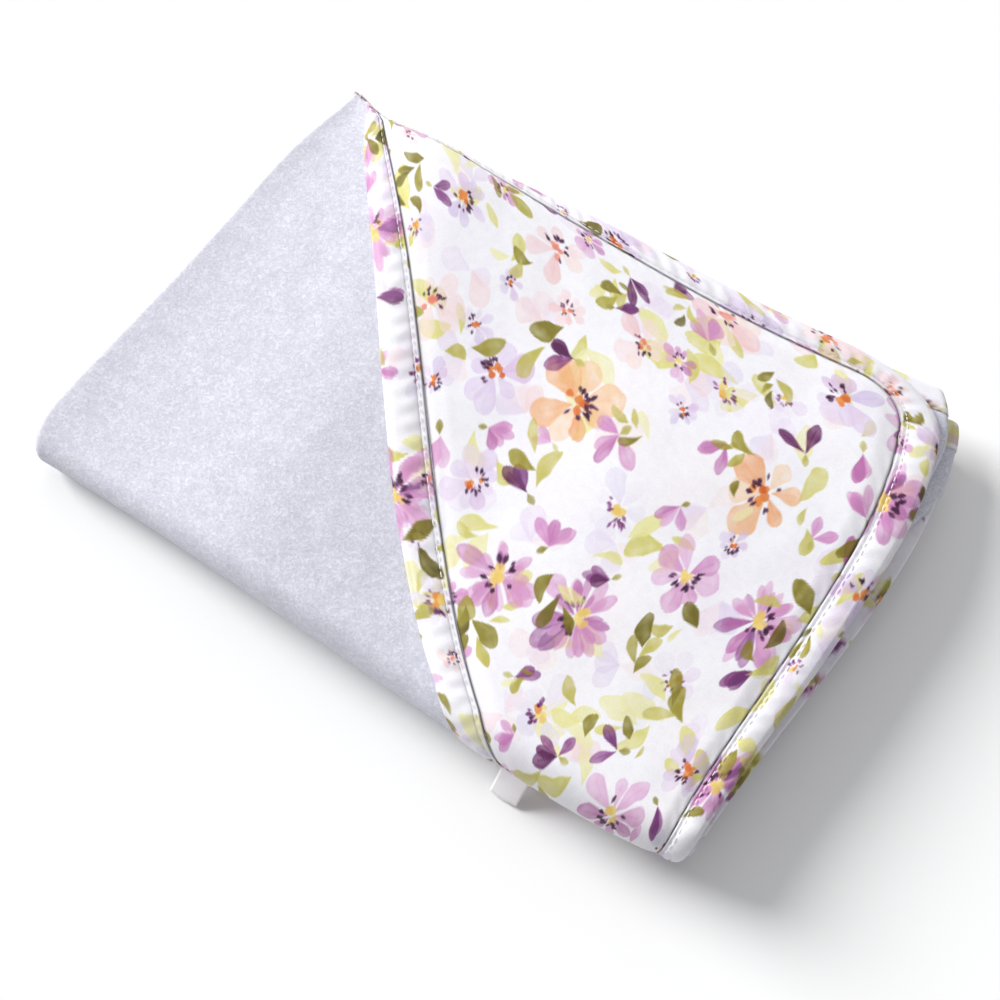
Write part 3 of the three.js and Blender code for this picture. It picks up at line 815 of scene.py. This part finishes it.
# painted shade: the cloth's colour is darkened in the seam's ditch, where shade falls
shade = 1 - 0.80 * np.exp(-(np.clip(np.minimum(seam_gap(u, v)[0], corner_gap(u, v)), 0, 9) / 0.58) ** 2)
cols[..., :3] *= shade[..., None]
panel, panel2 = cut_sheet(("hood_panel_print", "hood_panel_wrap"), k, fold(u, v, w), fold(u, v, w - 0.45), PRINT, cols)
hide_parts("hood_panel", "hood_panel_front")
weigh(panel, "upper_half", "hood_front", np.tile(mouth_weight(u, v)[:, :k + 1].ravel(), 2), **MOUTH)
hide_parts("hood_panel_fold", "hood_panel_under")
weigh(panel2, "lower_half", "upper_half", np.tile(unfold_weight(v)[:, k:].ravel(), 2), **UNFOLD)

u, v = hood_grid(0, 0, spans((4.0, SPLIT, 2.5), (SPLIT, V_SEAM_TIP + 6.0, 2.0)), 2.5, 8.0, 12.0)
k = int(np.argmin(np.abs(v[0] - SPLIT)))
lining, lining2 = cut_sheet(("hood_lining_terry", "hood_lining_wrap"), k, fold(u, v, LIN1), fold(u, v, LIN0), TERRY)
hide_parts("hood_lining", "hood_lining_front")
weigh(lining, "upper_half", "hood_front", np.tile(mouth_weight(u, v)[:, :k + 1].ravel(), 2), **MOUTH)
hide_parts("hood_lining_fold", "hood_lining_under")
weigh(lining2, "lower_half", "upper_half", np.tile(unfold_weight(v)[:, k:].ravel(), 2), **UNFOLD)


# ------------------------------------------------------------------ bindings
def band_profile(t, s, raised):
    """Height of the tape's top above the cloth below it at distance t from the edge: seam ditch, narrow turned ridge, stitch groove, soft band."""
    ditch = -0.95 * np.exp(-((t - BAND - 0.1) / 0.34) ** 2)
    ridge = 0.16 * np.exp(-((t - (BAND - 0.9)) / 0.45) ** 2)
    groove = -0.12 * np.exp(-((t - (BAND - 2.2)) / 0.34) ** 2)
    band = 0.95 * np.sqrt(np.clip(np.sin(np.clip(t / (BAND - 2.6), 0, 1) * math.pi), 0, 1))
    ease = 0.16 * np.sin(s * 2 * math.pi / 6.1 + 1.7 * np.sin(s / 19.0)) * np.exp(-((t - 7.5) / 4.0) ** 2)
    return ditch + ridge + groove + band * raised + ease


def tape(line, top_h, bottom_h, seed, thick=0.42, edge_out=0.9, inside=-5.0):
    """A turned tape as two grids (outer and inner face) with its colours. line: (n, 4) of u, v on the cloth's edge and the unit direction inwards; top_h, bottom_h: (n,) heights the tape lies at."""
    pu, pv, nu, nv = line.T
    step = np.hypot(np.diff(pu), np.diff(pv))
    s = np.concatenate([[0], np.cumsum(step)])
    t_top = np.concatenate([np.linspace(BAND + 0.15, BAND - 4.0, 17), np.linspace(BAND - 4.4, 1.0, 18)])
    arc = np.linspace(0, math.pi, 9)[1:-1]
    t_bot = np.linspace(1.0, BAND, 9)
    mid, half = (top_h + bottom_h) / 2, (top_h - bottom_h) / 2
    ts, hs = [], []
    for t in t_top:
        ts.append(np.full(pu.shape, t))
        hs.append(top_h + band_profile(t, s, 1.0) * np.clip(t / 1.6, 0.25, 1))
    lead = band_profile(1.0, s, 1.0) * 0.62
    for a in arc:
        ts.append(np.full(pu.shape, 1.0 - (1.0 + edge_out) * math.sin(a)))
        hs.append(mid + lead / 2 + (half + lead / 2) * math.cos(a))
    for t in t_bot:
        ts.append(np.full(pu.shape, t))
        hs.append(bottom_h - 0.12 * np.sin(np.clip(t / BAND, 0, 1) * math.pi))
    ts, hs = np.stack(ts, 1), np.stack(hs, 1)
    # inner face, a tape's thickness inside
    tang_t, tang_h = np.gradient(ts, axis=1), np.gradient(hs, axis=1)
    ln = np.hypot(tang_t, tang_h) + 1e-9
    # the section runs inwards to outwards on top, so its left side is up; the inner face is below it
    it, ih = ts - thick * tang_h / ln, hs + thick * tang_t / ln
    wob = 0.25 * noise2(s, 0 * s, 31, seed, 2)
    keep = lambda q: np.where(q < inside, inside + (q - inside) * 0.03, q)
    U = lambda q: keep(pu[:, None] + nu[:, None] * (q + wob[:, None]))
    V = lambda q: keep(pv[:, None] + nv[:, None] * (q + wob[:, None]))
    outer, inner = fold(U(ts), V(ts), hs), fold(U(it), V(it), ih)
    # the tape is cut on the bias, so its own flowers run along it
    q = np.concatenate([[0], np.cumsum(np.hypot(np.diff(ts[0]), np.diff(hs[0])))])
    S, Q = np.meshgrid(s, q, indexing="ij")
    c = paint((S * 0.7071 + Q * 0.7071).ravel(), (-S * 0.7071 + Q * 0.7071).ravel(), seed)
    # painted shade: the tape's upper face is darkened along its inner edge, in the seam's ditch where shade falls
    c[:, :3] *= (1 - 0.76 * np.exp(-(np.clip(BAND + 0.15 - ts.ravel(), 0, 9) / 0.62) ** 2) * (hs.ravel() > 0))[:, None]
    return outer, inner, c.reshape(S.shape + (4,)), U(ts), V(ts), s


def edge_line(step=1.1):
    """The towel's whole edge as (u, v, inward u, inward v), starting on the underside at v = 400 of the side u = 0."""
    r = CORNER_R
    side = spans((r, V1, step), (V1, V2, TAD / 34), (V2, V3 - 8, 1.3), (V3 - 8, V3, 1.6), (V3, V4, TDC / 12), (V4, V4 + 8, 1.6), (V4 + 8, V5, 1.3), (V5, V6, TCB / 12), (V6, TOWEL - r, 1.3))
    end = spans((r, U1, step), (U1, U2, TU / 8), (U2, U3 - 20, 3.0), (U3 - 20, U3, 1.5), (U3, U4, TU / 8), (U4, U4 + 20, 1.5), (U4 + 20, TOWEL - r, 3.5))

    def arc(cu, cv, a0):
        a = np.radians(np.linspace(a0, a0 + 90, 34)[1:-1])
        return np.stack([cu + r * np.cos(a), cv + r * np.sin(a), -np.cos(a), -np.sin(a)], 1)

    col = lambda *c: np.stack([np.broadcast_to(np.asarray(q, float), side.shape if side.shape == np.shape(c[0]) or side.shape == np.shape(c[1]) else end.shape) for q in c], 1)
    s1 = np.stack([0 * side, side[::-1], 1 + 0 * side, 0 * side], 1)
    e1 = np.stack([end, 0 * end, 0 * end, 1 + 0 * end], 1)
    s2 = np.stack([TOWEL + 0 * side, side, -1 + 0 * side, 0 * side], 1)
    e2 = np.stack([end[::-1], TOWEL + 0 * end, 0 * end, -1 + 0 * end], 1)
    loop = np.concatenate([s1, arc(r, r, 180), e1, arc(TOWEL - r, r, 270), s2, arc(TOWEL - r, TOWEL - r, 0), e2, arc(r, TOWEL - r, 90)])
    return loop


loop = edge_line(0.55)
loop = np.concatenate([loop, loop[:1]])
# how much of the hood lies under the tape here, with its front binding crossing under the tape's ends
lu, lv = loop[:, 0], loop[:, 1]
side_a, side_b = lu < 1, lv < 1
hood_here = np.where(side_a, smooth((HV + 2 - lv) / 6), np.where(side_b, smooth((HU + 2 - lu) / 6), 0.0))
in_corner = (lu < CORNER_R) & (lv < CORNER_R)
hood_here = np.where(in_corner, 1.0, hood_here)
crossing = np.where(side_a, smooth((lv - HV + 27) / 7) * smooth((HV + 2 - lv) / 6), np.where(side_b, smooth((lu - HU + 24) / 7) * smooth((HU + 2 - lu) / 6), 0.0))
top_h = T / 2 + 0.25 + 1.15 * hood_here + 1.25 * crossing
bottom_h = np.full(lu.shape, -T / 2 - 0.35)
outer, inner, cols, bu, bv, bs = tape(loop, top_h, bottom_h, 33)
co, faces = closed_sheet(outer, inner)
cols = cols.reshape(-1, 4)
ob = mesh_object("edge_binding_tape", co, faces, np.concatenate([cols, cols]))
ob.data.materials.append(BINDING)
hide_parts("edge_binding_hood_corner", "edge_binding_top_ply", "edge_binding_upper_inner_ply", "edge_binding_hood_under", "edge_binding_lower_side", "edge_binding_inner_end")
weigh(ob, "lower_half", "upper_half", np.tile(unfold_weight(np.broadcast_to(lv[:, None], bu.shape)).ravel(), 2), **UNFOLD)

# front binding, in two lengths that meet on the long fold
nrm = np.array([1 / HU, 1 / HV]) / math.hypot(1 / HU, 1 / HV)
V_TIP = HV - 3.0
FSTEP = 0.5
vs = spans((3.0, SPLIT, FSTEP), (SPLIT, V_TIP, FSTEP))
front = np.stack([HU * (1 - vs / HV), vs, np.full(vs.shape, -nrm[0]), np.full(vs.shape, -nrm[1])], 1)
one = np.ones(len(front))
# its ends tuck flat under the edge tape
tuck = smooth((vs - 2) / 14) * smooth((HV - 2 - vs) / 14)
front_h = T / 2 + 0.95 + 0.40 * tuck
outer, inner, cols, fu, fv, fs = tape(front, front_h, one * (T / 2 + 0.30), 57, edge_out=0.7, inside=1.0)
k = int(np.argmin(np.abs(vs - SPLIT)))
FRONT_TAPE, FRONT_TAPE2 = cut_sheet(("hood_front_tape", "hood_front_tape_wrap"), k, outer, inner, BINDING, cols, axis=0)
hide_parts("hood_front_binding")
weigh(FRONT_TAPE, "upper_half", "hood_front", np.tile(mouth_weight(fu, fv)[:k + 1].ravel(), 2), **MOUTH)
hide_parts("hood_front_binding_fold", "hood_front_binding_under")
weigh(FRONT_TAPE2, "lower_half", "upper_half", np.tile(unfold_weight(fv)[k:].ravel(), 2), **UNFOLD)
la, lb = front[:k + 1], front[k:]
la_h, lb_h = front_h[:k + 1], front_h[k:]


# ------------------------------------------------------------------ stitches
def stitches(name, line, heights, t, pitch=2.7, length=1.9, r=0.20):
    pu, pv, nu, nv = line.T
    s = np.concatenate([[0], np.cumsum(np.hypot(np.diff(pu), np.diff(pv)))])
    starts = np.arange(1.0, s[-1] - length - 1.0, pitch)
    n, k = 6, 6
    cos, fcs, vs_all, us_all = [], [], [], []
    base = 0
    for st in starts:
        ss = st + np.linspace(0, 1, n) * length
        cu, cv = np.interp(ss, s, pu + nu * t), np.interp(ss, s, pv + nv * t)
        hh = np.interp(ss, s, heights)
        tu, tv = np.gradient(cu), np.gradient(cv)
        ln = np.hypot(tu, tv)
        au, av = -tv / ln, tu / ln
        arch = np.sin(np.linspace(0, 1, n) * math.pi)
        rr = r * np.clip(0.35 + arch, 0.35, 1)
        lift = 0.10 * arch - 0.10
        a = np.linspace(0, 2 * math.pi, k, endpoint=False)
        ring = fold(cu[:, None] + au[:, None] * rr[:, None] * np.cos(a), cv[:, None] + av[:, None] * rr[:, None] * np.cos(a), (hh + lift)[:, None] + rr[:, None] * np.sin(a))
        c, f = tube_grid(ring)
        cos.append(c)
        fcs.append(f + base)
        base += len(c)
        vs_all.append(np.repeat(cv, k))
        us_all.append(np.repeat(cu, k))
    ob = mesh_object(name, np.concatenate(cos), np.concatenate(fcs))
    ob.data.materials.append(THREAD)
    return ob, np.concatenate(us_all), np.concatenate(vs_all)


groove_t = BAND - 2.2
near = (hood_here > 0.5)
# the part of the loop with the hood under it is contiguous: from the underside, up round the fold, the corner, to the far end
idx = np.flatnonzero(near[:-1])
hood_loop = loop[idx]
gh = top_h[idx] + 0.62
ob, su, sv = stitches("edge_stitches", hood_loop, gh, groove_t)
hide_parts("edge_topstitch")
weigh(ob, "lower_half", "upper_half", unfold_weight(sv), **UNFOLD)
ob, su, sv = stitches("hood_front_stitches", la, la_h + 0.62, groove_t)
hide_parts("hood_front_topstitch")
weigh(ob, "upper_half", "hood_front", mouth_weight(su, sv), **MOUTH)
ob, su, sv = stitches("hood_front_stitches_wrap", lb, lb_h + 0.62, groove_t)
weigh(ob, "lower_half", "upper_half", unfold_weight(sv), **UNFOLD)

# ------------------------------------------------------------------ side label, a blank folded tape
LABEL_U = 81.5
root = fold(LABEL_U, V1 + 0.56 * TAD, T / 2 + 0.3)
lo, hi = [np.array(q) * 1000 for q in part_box("side_label")]
width = hi[0] - lo[0] + 1.6
lo[0] = root[0] - width / 2
n, k = 26, 12
t = np.linspace(0, 1, n)
# out and back down: front layer, round turn at the bottom, back layer
half = n // 2
s_ = np.linspace(0, 1, half)
drop = (hi[2] - lo[2])
lean = 8.0
front_y = -lean * s_ ** 1.5 - 0.75 * np.sin(s_ * math.pi * 0.5) ** 0.7
back_y = -lean * s_[::-1] ** 1.5
zf, zb = root[2] - min(drop * 0.90, root[2] - 1.5) * s_, root[2] - min(drop * 0.90, root[2] - 1.5) * s_[::-1]
turn_a = np.linspace(0, math.pi, 7)[1:-1]
gap0 = front_y[-1] - back_y[0]
yc, rr = (front_y[-1] + back_y[0]) / 2, abs(gap0) / 2
Y = np.concatenate([front_y, yc - rr * np.cos(turn_a) * (1 if gap0 < 0 else -1), back_y])
Zc = np.concatenate([zf, zf[-1] - rr * np.sin(turn_a), zb])
X = np.linspace(0, width, 14)
yy0 = root[1]
curl = 0.35 * np.sin(np.linspace(0, math.pi, 14))
GX = np.broadcast_to(lo[0] + X[None, :], (Y.size, X.size))
gx = GX + 0.35 * (hi[2] - Zc)[:, None] / drop * 1.5
cen = np.stack([gx, yy0 + Y[:, None] - curl[None, :] * ((hi[2] - Zc) / drop)[:, None], np.broadcast_to(Zc[:, None], GX.shape)], -1)
ty, tz = np.gradient(Y), np.gradient(Zc)
ln = np.hypot(ty, tz)
ny, nz = -tz / ln, ty / ln
off = 0.14
A, B = cen.copy(), cen.copy()
A[..., 1] += ny[:, None] * off
A[..., 2] += nz[:, None] * off
B[..., 1] -= ny[:, None] * off
B[..., 2] -= nz[:, None] * off
co, faces = closed_sheet(A, B)
label = mesh_object("side_label_tape", co, faces)
label.data.materials.append(SATIN)
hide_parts("side_label")
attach(label, "lower_half")


def trapezoid(v0, v1, pad_lo, pad_hi):
    f = lambda q: HU * (1 - q / HV) - BAND_U + pad_hi - (BAND - pad_lo)
    return (f(v0) + f(v1)) / 2 * (v1 - v0) / 1e6, f(v0) / 1e3, (v1 - v0) / 1e3


for piece, args in ((panel, (BAND - 0.6, SPLIT, 0.6, 0.6)), (panel2, (SPLIT, V_SEAM_TIP - 1, 0.6, 0.6)), (lining, (4.0, SPLIT, 8.0, 12.0)), (lining2, (SPLIT, V_SEAM_TIP + 6, 8.0, 12.0))):
    area, a, b = trapezoid(*args)

# ------------------------------------------------------------------ floor, light, camera
me = bpy.data.meshes.new("floor")
me.from_pydata([(-6, -6, 0), (6, -6, 0), (6, 6, 0), (-6, 6, 0)], [], [(0, 1, 2, 3)])
floor = bpy.data.objects.new("floor", me)
bpy.context.scene.collection.objects.link(floor)
fm, nt, bsdf = material("paper_floor")
bsdf.inputs["Base Color"].default_value = (0.93, 0.93, 0.93, 1)
bsdf.inputs["Roughness"].default_value = 1.0
bsdf.inputs["Specular IOR Level"].default_value = 0.0
me.materials.append(fm)

scene = bpy.context.scene
world = bpy.data.worlds.new("studio")
scene.world = world
world.use_nodes = True
bg = world.node_tree.nodes["Background"]
bg.inputs[0].default_value = (0.97, 0.98, 1.0, 1)
bg.inputs[1].default_value = 0.335


def sun(name, x, y, elev, energy, angle):
    li = bpy.data.lights.new(name, "SUN")
    li.energy = energy
    li.angle = math.radians(angle)
    o = bpy.data.objects.new(name, li)
    e = math.radians(elev)
    n = math.hypot(x, y)
    o.rotation_euler = Vector((x / n * math.cos(e), y / n * math.cos(e), -math.sin(e))).to_track_quat("-Z", "Y").to_euler()
    bpy.context.scene.collection.objects.link(o)


sun("key", 0.990, -0.12, 28, 4.05, 26)
sun("top_window", 0.5, -0.86, 50, 0.60, 50)
scene.view_settings.view_transform = "Standard"

AZ, EL, DIST, FPX, TX, TY, ROLL = 30.318, 75.0, 417.929, 1218.611, 7.995, -17.165, 1.267
a, e = math.radians(AZ), math.radians(EL)
fwd = Vector((-math.sin(a) * math.cos(e), math.cos(a) * math.cos(e), -math.sin(e)))
eye = Vector((TX, TY, 15.0)) - fwd * DIST
right = fwd.cross(Vector((0, 0, 1))).normalized()
up = right.cross(fwd)
ro = math.radians(ROLL)
r2 = right * math.cos(ro) + up * math.sin(ro)
u2 = up * math.cos(ro) - right * math.sin(ro)
cam = bpy.data.cameras.new("camera")
cam.sensor_fit = "AUTO"
cam.sensor_width = 36.0
cam.lens = FPX * 36.0 / 1000.0
cam.clip_start = 0.01
co_ = bpy.data.objects.new("camera", cam)
co_.matrix_world = Matrix(((r2.x, u2.x, -fwd.x, eye.x / 1000), (r2.y, u2.y, -fwd.y, eye.y / 1000), (r2.z, u2.z, -fwd.z, eye.z / 1000), (0, 0, 0, 1)))
bpy.context.scene.collection.objects.link(co_)
scene.camera = co_
